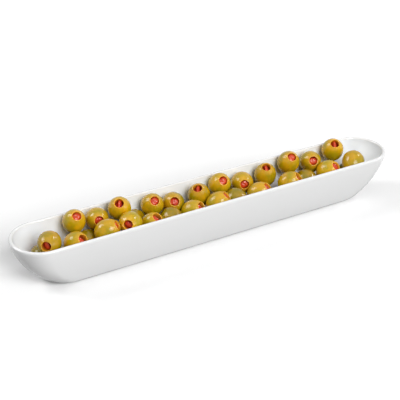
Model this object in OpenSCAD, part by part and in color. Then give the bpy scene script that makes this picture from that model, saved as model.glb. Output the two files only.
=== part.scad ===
// Olive dish: a long porcelain boat heaped with stuffed olives.
// X runs along the dish, Y towards its back wall, Z up.
// The origin is the middle of the foot, on the table.

/* [Dish] */
// Length over the rim
dish_l = 320; // [260:1:420]
// Width over the rim
dish_w = 47; // [42:0.5:60]
// Height from the table to the top of the rim
dish_h = 37; // [32:0.5:50]
// Length of the outline at the table
base_l = 257; // [200:1:340]
// Width of the outline at the table
base_w = 28; // [24:0.5:40]
// Thickness of the wall at the rim
wall_t = 3; // [2:0.1:5]
// Thickness of the floor
floor_t = 4; // [3:0.1:6]
// Outward swell of the long walls at half height
side_swell = 0.8; // [0:0.1:3]
// Length of one rounded end at the rim
rim_end_l = 22.5; // [14:0.5:40]
// Length of one rounded end at the table
base_end_l = 16.5; // [10:0.5:30]
// Radius of the outer edge that meets the table
heel_r = 2.5; // [0.5:0.1:4]
// Radius inside, where the wall meets the floor
well_r = 6; // [2:0.5:8]

/* [Foot] */
// Width of the bare ring that stands on the table
foot_w = 3; // [2:0.1:6]
// Depth of the recess inside the ring
foot_depth = 1.2; // [0.5:0.1:2]

/* [Olives] */
// Largest diameter of an olive at the left end
olive_d = 16.9; // [14:0.1:19]
// Length from the middle of an olive to its closed end
tail_l = 8.7; // [7:0.1:11]
// Length from the middle of an olive to its cut face
nose_l = 9.5; // [8:0.1:12]
// Diameter of the cut face
cut_d = 8; // [7.4:0.1:11]
// Diameter of the pitted bore
bore_d = 6.4; // [5:0.1:6.6]
// Depth of the bore below the cut face
bore_depth = 13; // [9:0.5:15]
// Radius of the soft lip round the bore
lip_r = 0.35; // [0.2:0.05:0.4]

/* [Pimentos] */
// Gap between a pimento and its bore
plug_gap = 0.15; // [0.1:0.05:0.4]
// Depth of the pimento below the cut face
plug_sink = 0.6; // [0.2:0.1:3]
// Height of the pimento's domed top
dome_h = 0.8; // [0.6:0.1:2.5]
// Radius of the fold across the pimento's top
fold_r = 0.5; // [0.2:0.05:0.9]

/* [Heap] */
// Gap between neighbours in the heap
heap_gap = 0.3; // [0.2:0.05:0.6]
// Size of the olives at the right end, as a share of their size at the left end
right_size_share = 1.06; // [1:0.01:1.2]

/* [Hidden] */
$fn = 48;

// Half sizes of the dish
rim_half_l = dish_l / 2;
rim_half_w = dish_w / 2;
base_half_l = base_l / 2;
base_half_w = base_w / 2;
// Shape of the ends in side view: the wall leaves the table low and rises to upright
end_rise_share = 1.37;
end_round_share = 1.76;
// Least length of an end as a share of its half width, where rings are drawn in far
least_end_share = 0.25;
// Rings of the loft, and points along each quarter of an end
wall_rings = 9;
heel_rings = 4;
well_rings = 5;
lip_rings = 8;
end_points = 12;

// Sizes of an olive
olive_r = olive_d / 2;
cut_r = cut_d / 2;
bore_r = bore_d / 2;
plug_r = bore_r - plug_gap;
plug_depth = bore_depth - plug_gap;
// Height of the whole egg whose top is cut off at the nose
nose_full_l = nose_l / sqrt(1 - (cut_r / olive_r) * (cut_r / olive_r));
overrun = olive_d;

// Share of the rise that the end wall has run out at a share of the height
function end_run(u) = pow(1 - pow(1 - u, end_rise_share), 1 / end_round_share);
function swell(u) = 4 * side_swell * u * (1 - u);
function blend(low, high, u) = low + (high - low) * u;

// Outline of the dish at height z, drawn in by a distance: a long slot with elliptic ends
function slot(half_l, half_w, end_l, z, draw_in) =
    let(l = half_l - draw_in, w = half_w - draw_in, e = max(end_l - draw_in, least_end_share * w))
    [
        for (side = [1, -1])
            for (k = [-end_points : end_points])
                let(t = 90 * k / end_points)
                [side * (l - e + e * cos(t)), side * w * sin(t), z]
    ];

// Outer and inner walls at a share u of their own height
function outer_ring(u, draw_in = 0) =
    slot(
        blend(base_half_l, rim_half_l, end_run(u)),
        blend(base_half_w, rim_half_w, u) + swell(u),
        blend(base_end_l, rim_end_l, u),
        u * (dish_h - wall_t / 2),
        draw_in
    );
function inner_ring(u, draw_in = 0) =
    slot(
        blend(base_half_l, rim_half_l, end_run(u)) - wall_t,
        blend(base_half_w, rim_half_w, u) + swell(u) - wall_t,
        blend(base_end_l, rim_end_l, u) - wall_t,
        blend(floor_t, dish_h - wall_t / 2, u),
        draw_in
    );
// How far a rounded edge of radius r is drawn in at height h above its foot
function edge_in(r, h) = h >= r ? 0 : r - sqrt(r * r - (r - h) * (r - h));

outer_h = dish_h - wall_t / 2;
inner_h = outer_h - floor_t;
heel_steps_share = [for (k = [0 : heel_rings]) 1 - cos(90 * k / heel_rings)];
well_steps_share = [for (k = [well_rings : -1 : 0]) 1 - cos(90 * k / well_rings)];

// Inside of the dish from the rim down: the wall, then the round well above the floor
inner_rings = concat(
    [
        for (k = [wall_rings : -1 : 1])
            inner_ring(blend(well_r / inner_h, 1, k / wall_rings))
    ],
    [for (s = well_steps_share) inner_ring(s * well_r / inner_h, edge_in(well_r, s * well_r))]
);
dish_rings = concat(
    // Recess under the floor, and the ring that stands on the table
    [slot(base_half_l, base_half_w, base_end_l, foot_depth, heel_r + foot_w + foot_depth)],
    [slot(base_half_l, base_half_w, base_end_l, 0, heel_r + foot_w)],
    // Heel and outer wall
    [for (s = heel_steps_share) outer_ring(s * heel_r / outer_h, edge_in(heel_r, s * heel_r))],
    [
        for (k = [1 : wall_rings])
            outer_ring(blend(heel_r / outer_h, 1, k / wall_rings))
    ],
    // Rounded lip
    [
        for (k = [1 : lip_rings - 1])
            let(t = 180 * k / lip_rings)
            slot(rim_half_l, rim_half_w, rim_end_l, outer_h + sin(t) * wall_t / 2, (1 - cos(t)) * wall_t / 2)
    ],
    inner_rings
);

// Solid through a stack of rings of equal length, closed flat at both ends
module loft(rings) {
    n = len(rings[0]);
    last = len(rings) - 1;
    polyhedron(
        points = [for (ring = rings) for (p = ring) p],
        faces = concat(
            [[for (i = [0 : n - 1]) i]],
            [
                for (r = [0 : last - 1])
                    for (i = [0 : n - 1])
                        let(j = (i + 1) % n)
                        [r * n + i, (r + 1) * n + i, (r + 1) * n + j, r * n + j]
            ],
            [[for (i = [n - 1 : -1 : 0]) last * n + i]]
        )
    );
}

// Direction of an olive's nose from its turn about Z and its tilt above the table
function aim(turn, tilt) = [cos(tilt) * cos(turn), cos(tilt) * sin(turn), sin(tilt)];

// Size of an olive by its place along the dish, as a share of the size at the left end
function size_at(x) = blend(1, right_size_share, (x + rim_half_l) / dish_l);

// An olive in the heap is [place, nose direction, size, turn, tilt]
function olive_at(x, y, z, turn, tilt) = [[x, y, z], aim(turn, tilt), size_at(x), turn, tilt];
function raised(o, z) = [[o[0][0], o[0][1], z], o[1], o[2], o[3], o[4]];

// Farthest that an olive of size 1 reaches in a direction that makes the cosine c with its nose
function reach(c) =
    let(
        s = sqrt(max(0, 1 - c * c)),
        full_l = c < 0 ? tail_l : nose_full_l,
        h = norm([olive_r * s, full_l * c])
    )
    full_l * full_l * c > h * nose_l ? (nose_l + lip_r) * c + cut_r * s : h;

// Whether an olive comes nearer to another than the gap
function touching(a, b) =
    let(step = b[0] - a[0], far = norm(step), n = step / far)
    far < a[2] * reach(n * a[1]) + b[2] * reach(-n * b[1]) + heap_gap;

// Height, between one that clears the olive below and one that touches it, narrowed to where it rests
function rest_between(o, below, high, low, n) =
    n == 0 ? high :
    let(mid = (high + low) / 2)
    touching(raised(o, mid), below)
        ? rest_between(o, below, high, mid, n - 1)
        : rest_between(o, below, mid, low, n - 1);

// Height at which an olive rests on one below, tried from the top down
rise_step = olive_r / 8;
rise_steps_up = 24;
rise_steps_down = 8;
halvings = 6;
function rest_on(o, below) =
    let(
        hits = [
            for (k = [rise_steps_up : -1 : -rise_steps_down])
                if (touching(raised(o, below[0][2] + k * rise_step), below)) below[0][2] + k * rise_step
        ]
    )
    len(hits) == 0 ? 0 :
    rest_between(o, below, hits[0] + rise_step, hits[0], halvings);

// Planes that bound the hollow: a point on each facet of the inner wall, and its outward normal
steep_share = 0.02;
bed_planes = concat(
    [[[0, 0, floor_t], [0, 0, -1]]],
    [
        for (r = [0 : len(inner_rings) - 2])
            for (i = [0 : len(inner_rings[0]) - 1])
                let(
                    j = (i + 1) % len(inner_rings[0]),
                    a = inner_rings[r][i],
                    out = cross(inner_rings[r + 1][j] - a, inner_rings[r][j] - inner_rings[r + 1][i]),
                    n = out / norm(out)
                )
                if (n[2] < -steep_share) [a, n]
    ]
);
// Rest height of an olive alone in the dish
function bed(o) =
    let(flat = [o[0][0], o[0][1], 0])
    max([for (p = bed_planes) (o[2] * reach(p[1] * o[1]) + heap_gap - (p[0] - flat) * p[1]) / -p[1][2]]);

// Those of the heap that lie near an olive in plan: olives farther apart than this never meet
farthest = 3 * olive_r;
function near(o, done) =
    [for (d = done) if (norm([d[0][0] - o[0][0], d[0][1] - o[0][1]]) < farthest) d];

// Each olive in turn is dropped at its place, onto the dish and what lies there already
function settle(spots, done = [], i = 0) =
    i == len(spots) ? done :
    let(o = spots[i], rests = [for (d = near(o, done)) rest_on(o, d)])
    settle(spots, concat(done, [raised(o, max(concat([bed(o)], rests)))]), i + 1);

// Places in the heap, as shares of the rim's half length and half width.
// Bottom row: places along the dish, on its middle line, with every nose to the back
bottom_turn = 90;
bottom_tilt = 8;
bottom_shares = [-0.86, -0.73, -0.525, -0.3, -0.065, 0.05, 0.185, 0.31, 0.445, 0.675, 0.815];
// Olives that rest low between the rows: share along, share across, turn, tilt
sunk_shares = [
    [-0.635, 0.06, -90, -10],
    [-0.38, 0.34, -135, 0],
    [-0.235, -0.28, -90, -10],
    [0.115, -0.26, -90, -10],
    [0.535, -0.14, -90, -10]
];
// Olives on top, in the order in which they come to rest: most of the front row, then the back row
top_shares = [
    [-0.84, -0.33, -125, 15],
    [-0.72, -0.34, -68, 40],
    [-0.575, -0.41, -33, 33],
    [-0.345, -0.39, -65, 85],
    [-0.125, -0.315, -37, 74],
    [0, -0.415, -20, 50],
    [0.23, -0.38, -31, 35],
    [0.41, -0.35, -45, 43],
    [0.64, -0.345, -46, 46],
    [0.795, -0.38, -135, -25],
    [-0.455, -0.43, -130, 45],
    [-0.565, 0.39, -103, 50],
    [-0.175, 0.37, -105, 56],
    [0.21, 0.4, -110, 55],
    [0.615, 0.42, -105, 60],
    [-0.285, 0.38, -100, 20],
    [-0.04, 0.295, -130, 50],
    [0.345, 0.42, -115, 25],
    [-0.455, 0.33, -115, 60],
    [-0.675, 0.43, -90, 50],
    [0.085, 0.445, -95, 55],
    [0.485, 0.465, -100, 70],
    [0.755, 0.465, -110, 55]
];
function placed(shares) = [for (s = shares) olive_at(s[0] * rim_half_l, s[1] * rim_half_w, 0, s[2], s[3])];
low_spots = concat(
    [for (s = bottom_shares) olive_at(s * rim_half_l, 0, 0, bottom_turn, bottom_tilt)],
    placed(sunk_shares)
);
heap = settle(concat(low_spots, placed(top_shares)));
low_count = len(low_spots);
top_count = len(top_shares);
low_heap = [for (k = [1 : low_count]) heap[k - 1]];
top_heap = [for (k = [1 : top_count]) heap[low_count + k - 1]];

// Half of an olive's outline, nose up, with its pitted bore
module olive_section() {
    difference() {
        union() {
            intersection() {
                scale([1, tail_l / olive_r]) circle(olive_r);
                translate([0, -overrun]) square([overrun, overrun]);
            }
            intersection() {
                scale([1, nose_full_l / olive_r]) circle(olive_r);
                square([overrun, nose_l]);
            }
            translate([(bore_r + cut_r) / 2, nose_l]) circle(lip_r);
        }
        translate([-overrun, nose_l - bore_depth + bore_r]) square([overrun + bore_r, overrun]);
        translate([0, nose_l - bore_depth + bore_r]) circle(bore_r);
    }
}

// Half of a pimento's outline: a plug with a round foot and a domed top
module pimento_section() {
    foot = nose_l - plug_depth + plug_r;
    shoulder = nose_l - plug_sink - dome_h;
    intersection() {
        union() {
            translate([0, foot]) circle(plug_r);
            translate([0, foot]) square([plug_r, shoulder - foot]);
            translate([0, shoulder]) scale([1, dome_h / plug_r]) circle(plug_r);
        }
        translate([0, -overrun]) square([overrun, 2 * overrun]);
    }
}

// Put what is drawn nose up at the origin at its place in the heap
module at_rest(o) {
    translate(o[0]) rotate([0, 90 - o[4], o[3]]) children();
}

module olive(o) {
    color("#b59a2a") at_rest(o) rotate_extrude() scale(o[2]) olive_section();
}

module pimento(o) {
    color("#c8281e")
        at_rest(o)
            difference() {
                rotate_extrude() scale(o[2]) pimento_section();
                translate([0, 0, o[2] * (nose_l - plug_sink + fold_r / 2)])
                    rotate([0, 90, 0])
                        cylinder(r = o[2] * fold_r, h = o[2] * bore_d, center = true);
            }
}

module dish() {
    color("#f4f4f2") loft(dish_rings);
}
module low_olives() {
    for (o = low_heap) olive(o);
}
module low_pimentos() {
    for (o = low_heap) pimento(o);
}

dish();
low_olives();
low_pimentos();
for (k = [1 : top_count])
    olive(top_heap[k - 1]);
for (k = [1 : top_count])
    pimento(top_heap[k - 1]);
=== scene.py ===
"""Dresses the olive dish: glazed porcelain, green olives in brine and their rolled pimentos."""

import math
import random

import bmesh
import bpy
import numpy as np
from bpy.props import FloatProperty, FloatVectorProperty, PointerProperty
from mathutils import Matrix, Vector, noise


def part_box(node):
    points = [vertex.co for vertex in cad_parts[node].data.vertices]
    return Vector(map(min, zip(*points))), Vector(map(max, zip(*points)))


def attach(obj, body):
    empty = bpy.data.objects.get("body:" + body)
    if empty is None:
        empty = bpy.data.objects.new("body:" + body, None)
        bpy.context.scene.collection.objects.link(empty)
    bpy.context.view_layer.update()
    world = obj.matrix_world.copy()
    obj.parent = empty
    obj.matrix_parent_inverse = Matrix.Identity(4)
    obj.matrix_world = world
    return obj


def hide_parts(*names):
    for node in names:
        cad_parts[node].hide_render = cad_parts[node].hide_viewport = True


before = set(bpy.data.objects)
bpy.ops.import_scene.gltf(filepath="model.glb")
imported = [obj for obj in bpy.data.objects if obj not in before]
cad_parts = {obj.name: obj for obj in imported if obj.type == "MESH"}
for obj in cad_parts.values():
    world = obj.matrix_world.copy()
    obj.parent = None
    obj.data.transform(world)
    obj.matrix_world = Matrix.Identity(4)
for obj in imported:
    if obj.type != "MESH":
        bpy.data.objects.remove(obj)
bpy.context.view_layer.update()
DISH_LOW, DISH_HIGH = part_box("dish")

bl_info = {
    "name": "Olive Dish",
    "version": (1, 0, 0),
    "blender": (4, 5, 0),
    "location": "3D View > Sidebar > Olive Dish",
    "description": "Dresses a porcelain dish of stuffed olives",
    "category": "Object",
}

MM = 0.001
WHITE = (1.0, 1.0, 1.0)
BLACK = (0.0, 0.0, 0.0)

# The camera's right and up. The folds of the pimentos are turned from its right
CAMERA_RIGHT = Vector((0.86594, -0.50015, 0.0))
CAMERA_UP = Vector((0.24267, 0.42015, 0.87441))


# Settings that a user may change


def length(name, description, metres):
    """A size that a user may change, shown in the scene's unit."""
    return FloatProperty(name=name, description=description, default=metres, unit="LENGTH", precision=5)


def colour(name, description, value):
    """A colour that a user may change."""
    return FloatVectorProperty(
        name=name, description=description, default=value, size=3, min=0.0, max=1.0, subtype="COLOR"
    )


def share(name, description, value):
    """A number from 0 to 1."""
    return FloatProperty(
        name=name, description=description, default=value, min=0.0, max=1.0, subtype="FACTOR"
    )


def power(name, description, watts):
    """The strength of a lamp."""
    return FloatProperty(name=name, description=description, default=watts, min=0.0, unit="POWER")


class DishSettings(bpy.types.PropertyGroup):
    """Sizes and glaze of the dish"""

    rim_length: length("Rim length", "Length over the rim", DISH_HIGH.x - DISH_LOW.x)
    rim_width: length("Rim width", "Width over the rim", DISH_HIGH.y - DISH_LOW.y)
    height: length("Height", "Height from the table to the top of the rim", DISH_HIGH.z - DISH_LOW.z)
    base_length: length("Base length", "Length of the outline at the table", 257 * MM)
    base_width: length("Base width", "Width of the outline at the table", 28 * MM)
    wall: length("Wall", "Thickness of the wall", 3 * MM)
    floor: length("Floor", "Thickness of the floor", 4 * MM)
    swell: length("Swell", "Outward swell of the long walls", 0.8 * MM)
    rim_end: length("Rim end", "Length of one rounded end at the rim", 22.5 * MM)
    base_end: length("Base end", "Length of one rounded end at the table", 16.5 * MM)
    heel: length("Heel", "Radius of the edge that meets the table", 2.5 * MM)
    well: length("Well", "Radius inside, between wall and floor", 6 * MM)
    foot: length("Foot", "Width of the ring that stands on the table", 3 * MM)
    recess: length("Recess", "Depth of the recess inside the ring", 1.2 * MM)
    glaze: colour("Glaze", "Colour of the glazed porcelain outside", (0.832, 0.834, 0.832))
    # The inside glaze is tinted cooler than the outside: painted light against the olives' warm bounce
    # light
    inside_glaze_painted_cool: colour("Glaze inside", "Colour of the glazed porcelain inside", (0.81, 0.84, 0.875))
    # Darkening of the lip: partly thinner glaze over the edge, partly painted shade on the lip's lit top
    lip_thin_glaze_and_shade: share("Lip shade", "How much darker the glaze is where it thins over the lip", 0.1)
    biscuit: colour("Biscuit", "Colour of the bare foot ring", (0.74, 0.71, 0.66))
    biscuit_gloss: share("Biscuit roughness", "Roughness of the bare foot ring", 0.62)
    gloss: share("Glaze roughness", "Roughness of the glaze", 0.12)


class OliveSettings(bpy.types.PropertyGroup):
    """Sizes and colours of the olives"""

    diameter: length("Diameter", "Largest diameter of an olive at the left end", 16.9 * MM)
    tail: length("Tail", "Length from the middle to the closed end", 8.7 * MM)
    nose: length("Nose", "Length from the middle to the cut face", 9.5 * MM)
    cut: length("Cut", "Diameter of the cut face", 8 * MM)
    bore: length("Bore", "Diameter of the pitted bore", 6.4 * MM)
    bore_depth: length("Bore depth", "Depth of the bore below the cut face", 13 * MM)
    lip: length("Lip", "Radius of the soft lip round the bore", 0.35 * MM)
    unevenness: length("Unevenness", "How far the skin strays from a true egg", 0.12 * MM)
    gold: colour("Gold", "Skin where it turns golden", (0.65, 0.365, 0.004))
    green: colour("Green", "Skin where it stays green", (0.40, 0.30, 0.003))
    brown: colour("Brown", "Skin in its bruised patches", (0.25, 0.11, 0.002))
    rim: colour("Rim", "Flesh at the cut rim", (0.72, 0.36, 0.02))
    # Flesh down the bore is darker than at the rim: painted shade of the bore
    flesh: colour("Flesh", "Flesh down the bore", (0.50, 0.15, 0.012))
    gloss: share("Skin roughness", "Roughness of the wet skin", 0.17)


class PimentoSettings(bpy.types.PropertyGroup):
    """Sizes and colours of the pimentos"""

    gap: length("Gap", "Gap between a pimento and its bore", 0.15 * MM)
    sink: length("Sink", "Depth of the pimento below the cut face", 0.6 * MM)
    dome: length("Dome", "Height of the pimento's domed top", 0.8 * MM)
    red: colour("Red", "Pepper flesh", (0.50, 0.036, 0.006))
    # Bright red colours random patches and, as painted highlight, the pepper's lit tops; deep red is
    # painted shade in its folds and down its sides
    bright: colour("Bright red", "Pepper flesh on its ridges", (0.58, 0.075, 0.014))
    deep: colour("Deep red", "Pepper flesh in its folds", (0.22, 0.008, 0.006))
    gloss: share("Pepper roughness", "Roughness of the wet pepper", 0.22)


class StageSettings(bpy.types.PropertyGroup):
    """Camera, floor and lights"""

    camera_place: FloatVectorProperty(
        name="Camera place",
        description="Where the camera stands",
        default=(-0.35279, -0.59419, 0.41096),
        size=3,
        unit="LENGTH",
    )
    lens: FloatProperty(
        name="Lens", description="Focal length in millimetres", default=93.89, min=1.0, unit="CAMERA"
    )
    floor_colour: colour("Floor", "Colour of the floor as the camera sees it", (0.885, 0.885, 0.885))
    floor_shade: colour("Floor bounce", "Colour of the floor for light it throws back", (0.3, 0.3, 0.3))
    near_glow: share("Near glow", "How far the floor is lifted to white round the dish", 0.05)
    far_glow: share("Far glow", "How far the floor is lifted to white half a metre away", 0.3)
    top: power("Top light", "Watts of the large softbox overhead", 7.4)
    front: power("Front light", "Watts of the softbox in front", 48.2)
    side: power("Side light", "Watts of the low softbox in front on the right", 7.2)
    right: power("Right light", "Watts of the softbox on the right", 8.6)
    back: power("Back light", "Watts of the softbox behind on the left", 23.9)


# Shader maths


class Value:
    """A socket that turns sums, differences and products in Python into Math nodes."""

    def __init__(self, nodes, socket):
        self.nodes = nodes
        self.socket = socket

    def _math(self, operation, left, right):
        return self.nodes.node("ShaderNodeMath", {"operation": operation}, {0: left, 1: right})

    def __add__(self, other):
        return self._math("ADD", self, other)

    def __radd__(self, other):
        return self._math("ADD", other, self)

    def __sub__(self, other):
        return self._math("SUBTRACT", self, other)

    def __rsub__(self, other):
        return self._math("SUBTRACT", other, self)

    def __mul__(self, other):
        return self._math("MULTIPLY", self, other)

    def __rmul__(self, other):
        return self._math("MULTIPLY", other, self)


class Nodes:
    """A node tree in the making, with one method that makes any node."""

    def __init__(self, tree):
        self.tree = tree
        self.tree.nodes.clear()

    def node(self, kind, settings=None, sockets=None, output=0):
        """Makes a node, sets it up, then fills its sockets, and gives one of its outputs."""
        made = self.tree.nodes.new(kind)
        for name, value in (settings or {}).items():
            setattr(made, name, value)
        for name, value in (sockets or {}).items():
            socket = made.inputs[name]
            if isinstance(value, Value):
                self.tree.links.new(value.socket, socket)
            elif socket.type == "RGBA" and len(value) == 3:
                socket.default_value = (*value, 1.0)
            else:
                socket.default_value = value
        return Value(self, made.outputs[output]) if made.outputs else None

    def viewer(self):
        """1 for rays from the camera, off a mirror or through glass, and 0 for rays of light."""
        kinds = ("Is Camera Ray", "Is Glossy Ray", "Is Transmission Ray")
        camera, glossy, glass = (self.node("ShaderNodeLightPath", output=kind) for kind in kinds)
        total = camera + glossy + glass
        return self.node("ShaderNodeMath", {"operation": "MINIMUM"}, {0: total, 1: 1.0})


class Finish(Nodes):
    """A material in the making."""

    def __init__(self, name):
        self.material = bpy.data.materials.new(name)
        self.material.use_nodes = True
        super().__init__(self.material.node_tree)

    def place(self):
        """Where a point is on its object."""
        return self.node("ShaderNodeTexCoord", output="Object")

    def own(self, name):
        """A number that the mesh carries at each point."""
        return self.node("ShaderNodeAttribute", {"attribute_name": name}, output="Fac")

    def cloud(self, scale, detail=2.0, rough=0.5, squeeze=(1.0, 1.0, 1.0)):
        """Soft noise from 0 to 1, with patches of about 1 / scale metres."""
        where = self.node("ShaderNodeMapping", None, {"Vector": self.place(), "Scale": squeeze})
        return self.node(
            "ShaderNodeTexNoise",
            None,
            {"Vector": where, "Scale": scale, "Detail": detail, "Roughness": rough},
        )

    def step(self, value, low, high):
        """0 below low, 1 above high and smooth between."""
        return self.node(
            "ShaderNodeMapRange",
            {"interpolation_type": "SMOOTHSTEP"},
            {"Value": value, "From Min": low, "From Max": high},
        )

    def blend(self, factor, first, second):
        """A colour between two."""
        colours = {0: factor, 6: first, 7: second}
        return self.node("ShaderNodeMix", {"data_type": "RGBA"}, colours, output=2)

    def bump(self, height, strength, distance):
        """A normal from a height that counts in steps of distance."""
        relief = {"Height": height, "Strength": strength, "Distance": distance}
        return self.node("ShaderNodeBump", None, relief)

    def finish(self, sockets):
        """Ends the material in one Principled shader."""
        shader = self.node("ShaderNodeBsdfPrincipled", None, sockets)
        self.node("ShaderNodeOutputMaterial", None, {"Surface": shader})
        return self.material


# Finishes


def glazed_porcelain(dish):
    """White glaze over a bare foot ring. The inside glaze is tinted cool as painted light, and the lip is
    darkened, partly for thinner glaze, partly as painted shade.
    """
    glaze_edge, glaze_start, glaze_full = 0.3 * MM, 0.2 * MM, 0.5 * MM
    tone_shade, tone_gloss = 0.015, 0.03
    made = Finish("glazed_porcelain")
    height = made.node("ShaderNodeSeparateXYZ", None, {0: made.place()}, output="Z")
    ragged = (made.cloud(scale=420.0, detail=3.0) - 0.5) * glaze_edge
    glazed = made.step(height + ragged, low=glaze_start, high=glaze_full)
    tone = made.cloud(scale=26.0)
    # The inside takes the cooler glaze, a painted tint against the olives' warm bounce light
    glaze = made.blend(made.own("inside"), dish.glaze, dish.inside_glaze_painted_cool)
    # Darkens by random tone, and on the lip partly for thinner glaze and partly as painted shade on its
    # lit top
    glaze = made.blend(tone * tone_shade + made.own("thin") * dish.lip_thin_glaze_and_shade, glaze, BLACK)
    roughness = dish.biscuit_gloss - glazed * (dish.biscuit_gloss - dish.gloss)
    return made.finish(
        {
            "Base Color": made.blend(glazed, dish.biscuit, glaze),
            "Roughness": roughness + (tone - 0.5) * tone_gloss,
            "IOR": 1.5,
            "Normal": made.bump(made.cloud(scale=160.0, detail=1.0), strength=0.08, distance=0.4 * MM),
        }
    )


def wet_skin(olive):
    """Olive skin in brine: gold and green patches, pale pores, a bright cut rim and flesh painted darker
    inside as shade.
    """
    bruise_share, pore_share, ripe_share = 0.55, 0.22, 0.55
    pore_scale, pore_depth, pore_gain, pore_lift = 900.0, 0.35, 1.3, 0.02
    dimple_gloss = 0.12
    pore_colour = tuple(min(1.0, pore_gain * part + pore_lift) for part in olive.gold)
    ripe_colour = tuple((gold + rim) / 2 for gold, rim in zip(olive.gold, olive.rim))
    made = Finish("wet_olive_skin")
    along = made.own("along")
    patches = made.step(made.cloud(scale=95.0, detail=3.0, rough=0.55), low=0.36, high=0.66)
    skin = made.blend(patches, olive.green, olive.gold)
    bruise = made.step(made.cloud(scale=140.0, detail=4.0, rough=0.6), low=0.6, high=0.8)
    skin = made.blend(bruise * bruise_share, skin, olive.brown)
    cell = made.node("ShaderNodeTexVoronoi", None, {"Vector": made.place(), "Scale": pore_scale})
    pores = 1.0 - made.step(cell, low=0.1, high=0.28)
    skin = made.blend(pores * pore_share, skin, pore_colour)
    ripe = made.step(along, low=0.78, high=1.0)
    skin = made.blend(ripe * ripe_share, skin, ripe_colour)
    rim = made.step(along, low=1.0, high=1.25)
    # Down the bore the flesh turns darker, as painted shade
    inside = made.step(along, low=2.0, high=2.3)
    skin = made.blend(inside, made.blend(rim, skin, olive.rim), olive.flesh)
    dimples = made.cloud(scale=380.0, detail=4.0, rough=0.6)
    return made.finish(
        {
            # Darkens each whole skin by its seat's number: painted shade, for the olives that lift out
            # partly their own tone
            "Base Color": made.blend(made.own("shade"), skin, BLACK),
            "Roughness": olive.gloss + (dimples - 0.5) * dimple_gloss,
            "IOR": 1.4,
            "Subsurface Weight": 0.12,
            "Subsurface Radius": (1.0, 0.7, 0.15),
            "Subsurface Scale": 1.5 * MM,
            "Normal": made.bump(dimples - pores * pore_depth, strength=0.3, distance=0.35 * MM),
        }
    )


def wet_pepper(pimento):
    """Rolled red pepper: bright patches, painted highlight on its lit tops, painted shade in its folds,
    and fine fibres.
    """
    patch_share, ridge_share, fibre_gloss = 0.5, 0.6, 0.15
    made = Finish("wet_red_pepper")
    ridge = made.own("ridge")
    fibres = made.cloud(scale=420.0, detail=3.0, rough=0.6, squeeze=(1.0, 1.0, 0.35))
    patches = made.step(made.cloud(scale=260.0), low=0.35, high=0.7)
    flesh = made.blend(patches * patch_share, pimento.red, pimento.bright)
    # Painted highlight where the painted light is high, painted shade where it is low
    flesh = made.blend(made.step(ridge, low=0.55, high=1.0) * ridge_share, flesh, pimento.bright)
    flesh = made.blend(1.0 - made.step(ridge, low=0.0, high=0.5), flesh, pimento.deep)
    return made.finish(
        {
            "Base Color": flesh,
            "Roughness": pimento.gloss + (fibres - 0.5) * fibre_gloss,
            "IOR": 1.36,
            "Coat Weight": 0.08,
            "Coat Roughness": 0.12,
            "Subsurface Weight": 0.1,
            "Subsurface Radius": (1.0, 0.25, 0.15),
            "Subsurface Scale": 1.0 * MM,
            "Normal": made.bump(fibres, strength=0.45, distance=0.3 * MM),
        }
    )


# Meshes


def mesh_from(bm, name):
    """Turns a bmesh into a named mesh."""
    mesh = bpy.data.meshes.new(name)
    bm.to_mesh(mesh)
    bm.free()
    return mesh


def piece_from(bm, name, material, body, nodes):
    """Turns a bmesh into a finished piece that rides on a body and stands for CAD nodes."""
    for face in bm.faces:
        face.smooth = True
    piece = bpy.data.objects.new(name, mesh_from(bm, name))
    bpy.context.scene.collection.objects.link(piece)
    piece.data.materials.append(material)
    round_off = piece.modifiers.new("round", "SUBSURF")
    round_off.levels = 1
    round_off.render_levels = 1
    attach(piece, body)
    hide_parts(*nodes)


def labelled(*labels):
    """An empty bmesh that carries named numbers at each point."""
    bm = bmesh.new()
    for label in labels:
        bm.verts.layers.float.new(label)
    return bm


def edge_in(radius, height):
    """How far a rounded edge is drawn in at a height above its foot."""
    if height >= radius:
        return 0.0
    return radius - math.sqrt(radius * radius - (radius - height) ** 2)


def dish_outlines(dish):
    """Outlines of the dish from the recess under it, up the outside, over the lip and down the inside.

    Also gives the number of the first outline on the lip and of the first one inside.
    """
    half_l = (dish.base_length / 2, dish.rim_length / 2)
    half_w = (dish.base_width / 2, dish.rim_width / 2)
    end = (dish.base_end, dish.rim_end)
    top = dish.height - dish.wall / 2
    rise_power, round_power = 1.37, 1.76
    recess_margin = 1.6
    wall_rings, edge_rings, lip_rings = 14, 6, 10

    def between(pair, u):
        return pair[0] + (pair[1] - pair[0]) * u

    def wall(u, height, draw_in):
        run = (1 - (1 - min(u, 1.0)) ** rise_power) ** (1 / round_power)
        bulge = 4 * dish.swell * u * (1 - u)
        return (between(half_l, run), between(half_w, u) + bulge, between(end, u), height, draw_in)

    def under(height, draw_in):
        return (half_l[0], half_w[0], end[0], height, draw_in)

    def outer(z):
        return wall(z / top, z, edge_in(dish.heel, z))

    def inner(z):
        u = (z - dish.floor) / (top - dish.floor)
        return wall(u, z, dish.wall + edge_in(dish.well, z - dish.floor))

    foot = dish.heel + dish.foot
    rings = [
        under(dish.recess, foot + recess_margin * dish.recess),
        under(dish.recess, foot + dish.recess),
        under(0.0, foot),
        under(0.0, foot - dish.foot / 3),
    ]
    for k in range(edge_rings + 1):
        rings.append(outer(dish.heel * (1 - math.cos(math.pi / 2 * k / edge_rings))))
    for k in range(1, wall_rings + 1):
        rings.append(outer(dish.heel + (top - dish.heel) * k / wall_rings))
    lip = len(rings)
    for k in range(1, lip_rings):
        turn = math.pi * k / lip_rings
        rise, draw_in = math.sin(turn) * dish.wall / 2, (1 - math.cos(turn)) * dish.wall / 2
        rings.append(wall(1.0, top + rise, draw_in))
    inside = len(rings)
    start = dish.floor + dish.well
    for k in range(wall_rings, 0, -1):
        rings.append(inner(start + (top - start) * k / wall_rings))
    for k in range(edge_rings, -1, -1):
        rings.append(inner(dish.floor + dish.well * (1 - math.cos(math.pi / 2 * k / edge_rings))))
    return rings, lip, inside


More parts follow.
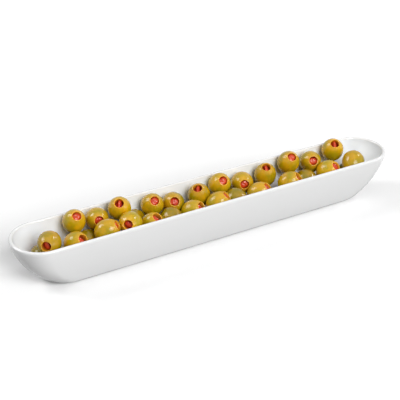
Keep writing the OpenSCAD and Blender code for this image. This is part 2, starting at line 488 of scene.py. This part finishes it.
def dish_mesh(dish):
    """Pulls one outline along the dish's profile and closes it under the recess and on the floor."""
    points_round, cuts_along = 80, 36
    bm = labelled("bearing", "inside", "thin")
    bearing = bm.verts.layers.float["bearing"]
    inside = bm.verts.layers.float["inside"]
    thin = bm.verts.layers.float["thin"]
    turned = Matrix.Rotation(math.pi / points_round, 4, "Z")
    bmesh.ops.create_circle(bm, segments=points_round, radius=1.0, matrix=turned)
    for vert in bm.verts:
        vert[bearing] = math.atan2(vert.co.y, vert.co.x)
    rim = list(bm.edges)
    ring = list(bm.verts)
    outlines, first_lip, first_inside = dish_outlines(dish)
    for index, (half_l, half_w, end, height, draw_in) in enumerate(outlines):
        if index:
            pulled = bmesh.ops.extrude_edge_only(bm, edges=rim)["geom"]
            rim = [g for g in pulled if isinstance(g, bmesh.types.BMEdge)]
            ring = [g for g in pulled if isinstance(g, bmesh.types.BMVert)]
        else:
            first = rim
        along, across = half_l - draw_in, half_w - draw_in
        least_reach = across / 4
        reach = max(end - draw_in, least_reach)
        for vert in ring:
            turn = vert[bearing]
            vert[inside] = float(index >= first_inside)
            # Marks the lip, where the glaze is darkened: partly thinner glaze, partly painted shade
            vert[thin] = float(first_lip <= index < first_inside)
            side = math.copysign(1.0, math.cos(turn))
            vert.co = (side * (along - reach) + reach * math.cos(turn), across * math.sin(turn), height)
    bmesh.ops.contextual_create(bm, geom=first)
    bmesh.ops.contextual_create(bm, geom=rim)
    long_edges = [e for e in bm.edges if e.verts[0].co.x * e.verts[1].co.x < 0]
    bmesh.ops.subdivide_edges(bm, edges=long_edges, cuts=cuts_along, use_grid_fill=True)
    bm.normal_update()
    bmesh.ops.recalc_face_normals(bm, faces=bm.faces)
    bm.verts.layers.float.remove(bearing)
    return bm


def spun(profile, label, steps):
    """Spins a profile of (radius, height, number) about Z and keeps the number on the mesh."""
    weld = 0.01 * MM
    bm = labelled(label)
    layer = bm.verts.layers.float[label]
    verts = []
    for radius, height, number in profile:
        vert = bm.verts.new((radius, 0.0, height))
        vert[layer] = number
        verts.append(vert)
    edges = [bm.edges.new(pair) for pair in zip(verts, verts[1:])]
    bmesh.ops.spin(
        bm,
        geom=verts + edges,
        cent=(0, 0, 0),
        axis=(0, 0, 1),
        angle=2 * math.pi,
        steps=steps,
        use_merge=True,
    )
    bmesh.ops.remove_doubles(bm, verts=bm.verts, dist=weld)
    bmesh.ops.recalc_face_normals(bm, faces=bm.faces)
    return bm


def olive_mesh(olive):
    """One olive, nose up: closed end, cut rim and bore.

    "along" is 0 at the closed end, 1 at the cut, 2 at the bore's mouth and 3 down the bore.
    """
    radius, cut, bore = olive.diameter / 2, olive.cut / 2, olive.bore / 2
    full_nose = olive.nose / math.sqrt(1 - (cut / radius) ** 2)
    last = math.asin(olive.nose / full_nose)
    skin_rings, lip_rings, bore_rings, steps_round = 10, 7, 4, 36
    gather = 1.5
    profile = []
    for k in range(skin_rings):
        turn = math.pi / 2 * (k / skin_rings - 1)
        profile.append((radius * math.cos(turn), olive.tail * math.sin(turn), 0.5 * k / skin_rings))
    for k in range(skin_rings):
        turn = last * k / (skin_rings - 1)
        number = 0.5 + 0.5 * k / (skin_rings - 1)
        profile.append((radius * math.cos(turn), full_nose * math.sin(turn), number))
    for k in range(1, lip_rings + 1):
        turn = math.pi * k / (lip_rings + 1)
        middle, half = (cut + bore) / 2, (cut - bore) / 2
        rise = olive.lip * math.sin(turn)
        profile.append((middle + half * math.cos(turn), olive.nose + rise, 1 + k / (lip_rings + 1)))
    foot = olive.nose - olive.bore_depth + bore
    for k in range(bore_rings + 1):
        share_down = (k / bore_rings) ** gather
        profile.append((bore, olive.nose + (foot - olive.nose) * share_down, 2 + share_down))
    for k in range(1, bore_rings + 1):
        turn = math.pi / 2 * k / bore_rings
        profile.append((bore * math.cos(turn), foot - bore * math.sin(turn), 3.0))
    return spun(profile, "along", steps_round)


def pimento_mesh(olive, pimento):
    """One pimento, top up: a plug with a round foot and a domed top, painted lit on the dome and in shade
    down its sides.
    """
    radius = olive.bore / 2 - pimento.gap
    foot = olive.nose - olive.bore_depth + pimento.gap + radius
    shoulder = olive.nose - pimento.sink - pimento.dome
    foot_rings, side_rings, dome_rings, steps_round = 4, 3, 12, 32
    profile = []
    for k in range(foot_rings):
        turn = math.pi / 2 * (k / foot_rings - 1)
        profile.append((radius * math.cos(turn), foot + radius * math.sin(turn), 0.0))
    for k in range(side_rings):
        profile.append((radius, foot + (shoulder - foot) * k / side_rings, 0.0))
    for k in range(dome_rings + 1):
        turn = math.pi / 2 * k / dome_rings
        profile.append((radius * math.cos(turn), shoulder + pimento.dome * math.sin(turn), 1.0))
    return spun(profile, "ridge", steps_round)


# How the olives lie in the heap

# Each kind of pimento: depth below the usual top, depth of the valleys beside its fold,
# half width of the fold, and how far the strip lies off the bore's middle, all in millimetres
FOLDS = {
    "full": (-0.35, 0.4, 1.9, 0.0),
    "deep": (0.3, 0.6, 1.7, 0.0),
    "fold": (0.0, 1.9, 0.75, 0.0),
    "sunk": (1.9, 0.8, 1.2, 0.0),
    "slit": (0.1, 2.4, 1.3, -0.8),
}

# The kind of pimento in each olive that lifts out, and how far it is turned from level, in degrees
UPPER_FOLDS = (
    ("sunk", 20), ("slit", 60), ("full", 0), ("slit", 60), ("slit", 60), ("full", 10),
    ("full", 40), ("slit", 60), ("full", 90), ("full", 0), ("sunk", 60), ("deep", 100),
    ("deep", 80), ("deep", 120), ("deep", 100), ("full", 130), ("fold", 0), ("fold", 8),
    ("fold", -5), ("full", 140), ("full", 125), ("full", 150), ("fold", 5),
)

# How much darker than the lightest skin each olive that lifts out is drawn: partly own tone, partly
# painted shade
UPPER_TONES_AND_SHADES = (
    0.25, 0.1, 0.15, 0.1, 0.1, 0.1, 0.1, 0.1, 0.0, 0.2, 0.0, 0.1,
    0.2, 0.1, 0.1, 0.1, 0.2, 0.15, 0.0, 0.0, 0.0, 0.1, 0.0,
)
# Those that stay are drawn darker still, as painted shade deep in the heap
LOW_PAINTED_SHADE = 0.4

# Noses that lie another way in the photograph than in the solids: turn and tilt in degrees
UPPER_AIMS = {
    4: (-67, 57),
    5: (-58, 40),
    6: (-32, 46),
    7: (-46, 45),
    9: (-66, 43),
    11: (-128, 22),
    12: (-103, 20),
    13: (-109, 36),
    14: (-110, 19),
    15: (-109, 30),
    16: (-100, 46),
    17: (-133, 61),
    18: (-115, 63),
    19: (-116, 51),
    21: (-96, 43),
    22: (-98, 51),
}


class Seat:
    """Where one olive lies: its middle, size, nose direction and a side turned from level."""

    def __init__(self, olive_points, pimento_points, olive, seed, fold, shade, aim=None):
        skin, core = balance(olive_points), balance(pimento_points)
        self.nose = (core - skin).normalized()
        heights = olive_points.reshape(-1, 3) @ np.array(self.nose)
        self.size = float(np.ptp(heights)) / (olive.nose + olive.lip + olive.tail)
        tip = float(np.max(heights)) - skin.dot(self.nose)
        self.middle = skin + self.nose * (tip - self.size * (olive.nose + olive.lip))
        if aim:
            self.turn_to(aim, self.size * (olive.nose + olive.lip - olive.tail) / 2)
        self.seed = seed
        self.shade = shade
        self.fold, turn = fold
        level = CAMERA_RIGHT - self.nose * CAMERA_RIGHT.dot(self.nose)
        self.side = Matrix.Rotation(math.radians(turn), 3, self.nose) @ level.normalized()

    def turn_to(self, aim, halfway):
        """Turns the nose to a turn and a tilt, about the point that lies halfway along the olive."""
        before = self.nose
        turn, tilt = (math.radians(angle) for angle in aim)
        level = math.cos(tilt)
        self.nose = Vector((level * math.cos(turn), level * math.sin(turn), math.sin(tilt)))
        self.middle += halfway * (before - self.nose)

    def matrix(self):
        """Takes a piece that stands nose up at the origin to this seat."""
        back = self.nose.cross(self.side)
        turned = Matrix((self.side, back, self.nose)).transposed().to_4x4()
        return Matrix.Translation(self.middle) @ turned @ Matrix.Scale(self.size, 4)


def corners(mesh):
    """The corners of a mesh's triangles, as numbers."""
    mesh.calc_loop_triangles()
    points = np.empty(len(mesh.vertices) * 3)
    mesh.vertices.foreach_get("co", points)
    triangles = np.empty(len(mesh.loop_triangles) * 3, dtype=np.int32)
    mesh.loop_triangles.foreach_get("vertices", triangles)
    return points.reshape(-1, 3)[triangles].reshape(-1, 3, 3)


def balance(points):
    """The centre of mass of a closed mesh, from its triangles' corners."""
    first, second, third = points[:, 0], points[:, 1], points[:, 2]
    volume = (first * np.cross(second, third)).sum(1)
    middle = ((first + second + third) * volume[:, None]).sum(0) / 4 / volume.sum()
    return Vector(middle)


def loose_solids(node):
    """The triangles of each separate solid of a CAD node."""
    weld = 0.001 * MM
    bm = bmesh.new()
    bm.from_mesh(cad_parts[node].data)
    bmesh.ops.remove_doubles(bm, verts=bm.verts, dist=weld)
    whole = bpy.data.objects.new(node + "_merged", mesh_from(bm, node + "_merged"))
    bpy.context.scene.collection.objects.link(whole)
    bpy.ops.object.select_all(action="DESELECT")
    whole.select_set(True)
    bpy.context.view_layer.objects.active = whole
    bpy.ops.mesh.separate(type="LOOSE")
    solids = []
    for part in list(bpy.context.selected_objects):
        solids.append(corners(part.data))
        bpy.data.meshes.remove(part.data)
    return solids


def upper_seats(olive):
    """The seats of the olives that lift out, by number."""
    seats = {}
    for number, (fold, shade) in enumerate(zip(UPPER_FOLDS, UPPER_TONES_AND_SHADES), start=1):
        skin = corners(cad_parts[f"olive_{number}"].data)
        core = corners(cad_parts[f"pimento_{number}"].data)
        seats[number] = Seat(skin, core, olive, number, fold, shade, UPPER_AIMS.get(number))
    return seats


def low_seats(olive):
    """The seats of the olives that stay in the dish, from left to right."""
    first_seed, turn_step = 100, 40
    cores = loose_solids("low_pimentos")
    seats = []
    for count, skin in enumerate(sorted(loose_solids("low_olives"), key=lambda s: s[:, :, 0].min())):
        middle = balance(skin)
        core = min(cores, key=lambda c: (balance(c) - middle).length)
        fold = ("full", turn_step * count)
        seats.append(Seat(skin, core, olive, first_seed + count, fold, LOW_PAINTED_SHADE))
    return seats


# How each olive and pimento comes to its seat


def smooth(value, low, high):
    """0 below low, 1 above high and smooth between."""
    t = min(1.0, max(0.0, (value - low) / (high - low)))
    return t * t * (3 - 2 * t)


def copy_in(bm, template):
    """Adds a copy of a mesh and gives its points."""
    start = len(bm.verts)
    bm.from_mesh(template)
    bm.verts.ensure_lookup_table()
    return bm.verts[start:]


def add_olive(bm, olive, seat, template):
    """Adds one olive at its seat, with an uneven skin and a wavy cut rim of its own."""
    broad_lumps, fine_lumps, fine_share = 150, 420, 0.4
    rim_wave, rim_rise, rim_lobes = 0.045, 0.16 * MM, (2, 3, 5)
    own = copy_in(bm, template)
    along = bm.verts.layers.float["along"]
    shade = bm.verts.layers.float["shade"]
    draw = random.Random(seat.seed)
    drift = Vector([draw.uniform(-50, 50) for _ in range(3)])
    waves = [(lobes, draw.uniform(0, 2 * math.pi), draw.uniform(0.6, 1.0)) for lobes in rim_lobes]
    for vert in own:
        vert[shade] = seat.shade
        bearing = math.atan2(vert.co.y, vert.co.x)
        outside = 1 - smooth(vert[along], low=0.9, high=1.2)
        near_cut = smooth(vert[along], low=0.75, high=1.1)
        near_cut *= 1 - smooth(vert[along], low=2.0, high=2.6)
        wave = sum(size / lobes * math.sin(lobes * bearing + turn) for lobes, turn, size in waves)
        lumps = noise.noise(vert.co * broad_lumps + drift)
        lumps += fine_share * noise.noise(vert.co * fine_lumps + drift)
        vert.co += vert.co.normalized() * lumps * olive.unevenness * outside
        vert.co.x *= 1 + rim_wave * wave * near_cut
        vert.co.y *= 1 + rim_wave * wave * near_cut
        vert.co.z += rim_rise * near_cut * math.sin(2 * bearing + drift.x)
    bmesh.ops.transform(bm, matrix=seat.matrix(), verts=own)


def add_pimento(bm, olive, pimento, seat, template):
    """Adds one pimento at its seat, with its fold, valleys and wrinkles, painted shade in its valleys and
    crease, and painted light on its wrinkles.
    """
    valley_side, valley_shade = 0.9 * MM, 0.8
    crease_slope, crease_width, crease_depth, crease_shade = 0.5, 0.45 * MM, 0.22 * MM, 0.35
    wrinkle_height, wrinkle_light, plain_light = 0.16 * MM, 0.35, 0.75
    wrinkles_across, wrinkles_along, drift_step = 700, 260, 7.3
    own = copy_in(bm, template)
    ridge = bm.verts.layers.float["ridge"]
    sink, valley, half, off = (size * MM for size in FOLDS[seat.fold])
    shoulder = olive.nose - pimento.sink - pimento.dome
    drift = Vector((seat.seed * drift_step, 0, 0))
    for vert in own:
        top = vert[ridge]
        if vert.co.z < shoulder - pimento.dome:
            continue
        x, y = vert.co.x - off, vert.co.y
        beside = smooth(abs(x), low=half, high=half + valley_side)
        crease = math.exp(-((y - crease_slope * x) / crease_width) ** 2) * (1 - beside)
        wrinkle = noise.noise(Vector((x * wrinkles_across, y * wrinkles_along, 0)) + drift)
        vert.co.z -= sink + top * (valley * beside + crease_depth * crease - wrinkle_height * wrinkle)
        # Painted light: darker in the valleys beside the fold and along the crease, lighter and darker
        # with the wrinkles
        light = top * (1 - valley_shade * beside) * (plain_light + wrinkle_light * wrinkle)
        vert[ridge] = max(0.0, min(1.0, light - crease_shade * crease * top))
    bmesh.ops.transform(bm, matrix=seat.matrix(), verts=own)


def fill_heap(olive, labels, add, material, names, nodes):
    """Makes a piece for each olive that lifts out, and one for all that stay in the dish.

    names and nodes each say first the upper pieces' name without its number, then the low piece's.
    """
    for number, seat in upper_seats(olive).items():
        bm = labelled(*labels)
        add(bm, seat)
        name, body = f"{names[0]}_{number}", f"stuffed_olive_{number}"
        piece_from(bm, name, material, body, [f"{nodes[0]}_{number}"])
    bm = labelled(*labels)
    for seat in low_seats(olive):
        add(bm, seat)
    piece_from(bm, names[1], material, "dish", [nodes[1]])


# The stage

# Each softbox: name, the setting with its watts, the length of its side and where it stands, in metres
SOFTBOXES = (
    ("softbox_overhead", "top", 1.8, (0.0, 0.0, 2.5)),
    ("softbox_in_front", "front", 1.2, (0.0, -1.734, 1.354)),
    ("softbox_front_right", "side", 0.9, (1.383, -1.648, 0.457)),
    ("softbox_on_the_right", "right", 0.33, (1.734, 0.0, 1.354)),
    ("softbox_behind_left", "back", 0.9, (-1.291, 1.083, 1.414)),
)


def make_floor(stage):
    """A wide pale floor that keeps the dish's shadow and is seen as white further off."""
    half_side, squares = 4.0, 8
    glow_middle = (-0.08, -0.12, 0.0)
    glow_start, glow_full, white_start, white_full = 0.2, 0.45, 0.5, 1.2
    bm = bmesh.new()
    bmesh.ops.create_grid(bm, x_segments=squares, y_segments=squares, size=half_side)
    floor = bpy.data.objects.new("floor", mesh_from(bm, "floor"))
    bpy.context.scene.collection.objects.link(floor)
    made = Finish("pale_floor")
    dark = made.node("ShaderNodeBsdfDiffuse", None, {"Color": stage.floor_shade})
    pale = made.node("ShaderNodeBsdfDiffuse", None, {"Color": stage.floor_colour})
    ends = {0: made.place(), 1: glow_middle}
    away = made.node("ShaderNodeVectorMath", {"operation": "DISTANCE"}, ends, output="Value")
    near, far = (stage.near_glow,) * 3, (stage.far_glow,) * 3
    lift = made.blend(made.step(away, low=glow_start, high=glow_full), near, far)
    lift = made.blend(made.step(away, low=white_start, high=white_full), lift, WHITE)
    glow = made.node("ShaderNodeEmission", None, {"Color": lift, "Strength": 1.0})
    lifted = made.node("ShaderNodeAddShader", None, {0: pale, 1: glow})
    both = made.node("ShaderNodeMixShader", None, {0: made.viewer(), 1: dark, 2: lifted})
    made.node("ShaderNodeOutputMaterial", None, {"Surface": both})
    floor.data.materials.append(made.material)


def make_sky(scene):
    """A sky that gives no light and is seen as plain white."""
    scene.world = bpy.data.worlds.new("studio")
    scene.world.use_nodes = True
    made = Nodes(scene.world.node_tree)
    unlit = made.node("ShaderNodeBackground", None, {"Color": WHITE, "Strength": 0.0})
    seen = made.node("ShaderNodeBackground", None, {"Color": WHITE, "Strength": 1.0})
    both = made.node("ShaderNodeMixShader", None, {0: made.viewer(), 1: unlit, 2: seen})
    made.node("ShaderNodeOutputWorld", None, {"Surface": both})


def softbox(name, watts, side, place):
    """A square lamp that looks at the dish."""
    aim = Vector((0.0, 0.0, 0.02))
    lamp = bpy.data.lights.new(name, "AREA")
    lamp.energy = watts
    lamp.size = side
    holder = bpy.data.objects.new(name, lamp)
    bpy.context.scene.collection.objects.link(holder)
    holder.location = place
    holder.rotation_euler = (aim - Vector(place)).to_track_quat("-Z", "Y").to_euler()


def make_camera(scene, stage):
    """The camera of the photograph."""
    lens = bpy.data.cameras.new("camera")
    lens.lens = stage.lens
    lens.sensor_width = 36.0
    lens.clip_start = 0.01
    camera = bpy.data.objects.new("camera", lens)
    scene.collection.objects.link(camera)
    back = CAMERA_RIGHT.cross(CAMERA_UP)
    turned = Matrix((CAMERA_RIGHT, CAMERA_UP, back)).transposed().to_4x4()
    camera.matrix_world = Matrix.Translation(stage.camera_place) @ turned
    scene.camera = camera
    scene.view_settings.view_transform = "Standard"


# Operators, one for each kind of piece and one for the stage


class DISH_OT_stage(bpy.types.Operator):
    """Make the floor, the lights and the camera"""

    bl_idname = "dish.stage"
    bl_label = "Stage"
    bl_options = {"REGISTER", "UNDO"}

    def execute(self, context):
        stage = context.scene.stage_settings
        make_floor(stage)
        make_sky(context.scene)
        for name, setting, side, place in SOFTBOXES:
            softbox(name, getattr(stage, setting), side, place)
        make_camera(context.scene, stage)
        return {"FINISHED"}


class DISH_OT_porcelain(bpy.types.Operator):
    """Make the glazed porcelain dish"""

    bl_idname = "dish.porcelain"
    bl_label = "Porcelain Dish"
    bl_options = {"REGISTER", "UNDO"}

    def execute(self, context):
        dish = context.scene.dish_settings
        glaze = glazed_porcelain(dish)
        piece_from(dish_mesh(dish), "porcelain_dish", glaze, "dish", ["dish"])
        return {"FINISHED"}


class DISH_OT_olives(bpy.types.Operator):
    """Make every olive where it lies in the heap"""

    bl_idname = "dish.olives"
    bl_label = "Olives"
    bl_options = {"REGISTER", "UNDO"}

    def execute(self, context):
        olive = context.scene.olive_settings
        template = mesh_from(olive_mesh(olive), "olive_template")
        names, nodes = ("olive_skin", "low_olive_skins"), ("olive", "low_olives")

        def add(bm, seat):
            add_olive(bm, olive, seat, template)

        fill_heap(olive, ("along", "shade"), add, wet_skin(olive), names, nodes)
        bpy.data.meshes.remove(template)
        return {"FINISHED"}


class DISH_OT_pimentos(bpy.types.Operator):
    """Make the rolled pimento in every olive"""

    bl_idname = "dish.pimentos"
    bl_label = "Pimentos"
    bl_options = {"REGISTER", "UNDO"}

    def execute(self, context):
        olive = context.scene.olive_settings
        pimento = context.scene.pimento_settings
        template = mesh_from(pimento_mesh(olive, pimento), "pimento_template")
        names, nodes = ("pimento_roll", "low_pimento_rolls"), ("pimento", "low_pimentos")

        def add(bm, seat):
            add_pimento(bm, olive, pimento, seat, template)

        fill_heap(olive, ("ridge",), add, wet_pepper(pimento), names, nodes)
        bpy.data.meshes.remove(template)
        return {"FINISHED"}


class DISH_PT_panel(bpy.types.Panel):
    """Lists what makes the olive dish"""

    bl_idname = "DISH_PT_panel"
    bl_label = "Olive Dish"
    bl_space_type = "VIEW_3D"
    bl_region_type = "UI"
    bl_category = "Olive Dish"

    def draw(self, context):
        for operator in OPERATORS:
            self.layout.operator(operator.bl_idname)


SETTINGS = {
    "dish_settings": DishSettings,
    "olive_settings": OliveSettings,
    "pimento_settings": PimentoSettings,
    "stage_settings": StageSettings,
}
OPERATORS = (DISH_OT_stage, DISH_OT_porcelain, DISH_OT_olives, DISH_OT_pimentos)


def register():
    """Adds the settings, operators and panel to Blender."""
    for kind in (*SETTINGS.values(), *OPERATORS, DISH_PT_panel):
        bpy.utils.register_class(kind)
    for name, kind in SETTINGS.items():
        setattr(bpy.types.Scene, name, PointerProperty(type=kind))


def unregister():
    """Takes them out again."""
    for name in SETTINGS:
        delattr(bpy.types.Scene, name)
    for kind in (DISH_PT_panel, *reversed(OPERATORS), *reversed(tuple(SETTINGS.values()))):
        bpy.utils.unregister_class(kind)


def main():
    """Makes the whole scene."""
    register()
    bpy.ops.dish.stage()
    bpy.ops.dish.porcelain()
    bpy.ops.dish.olives()
    bpy.ops.dish.pimentos()


if __name__ == "__main__":
    main()
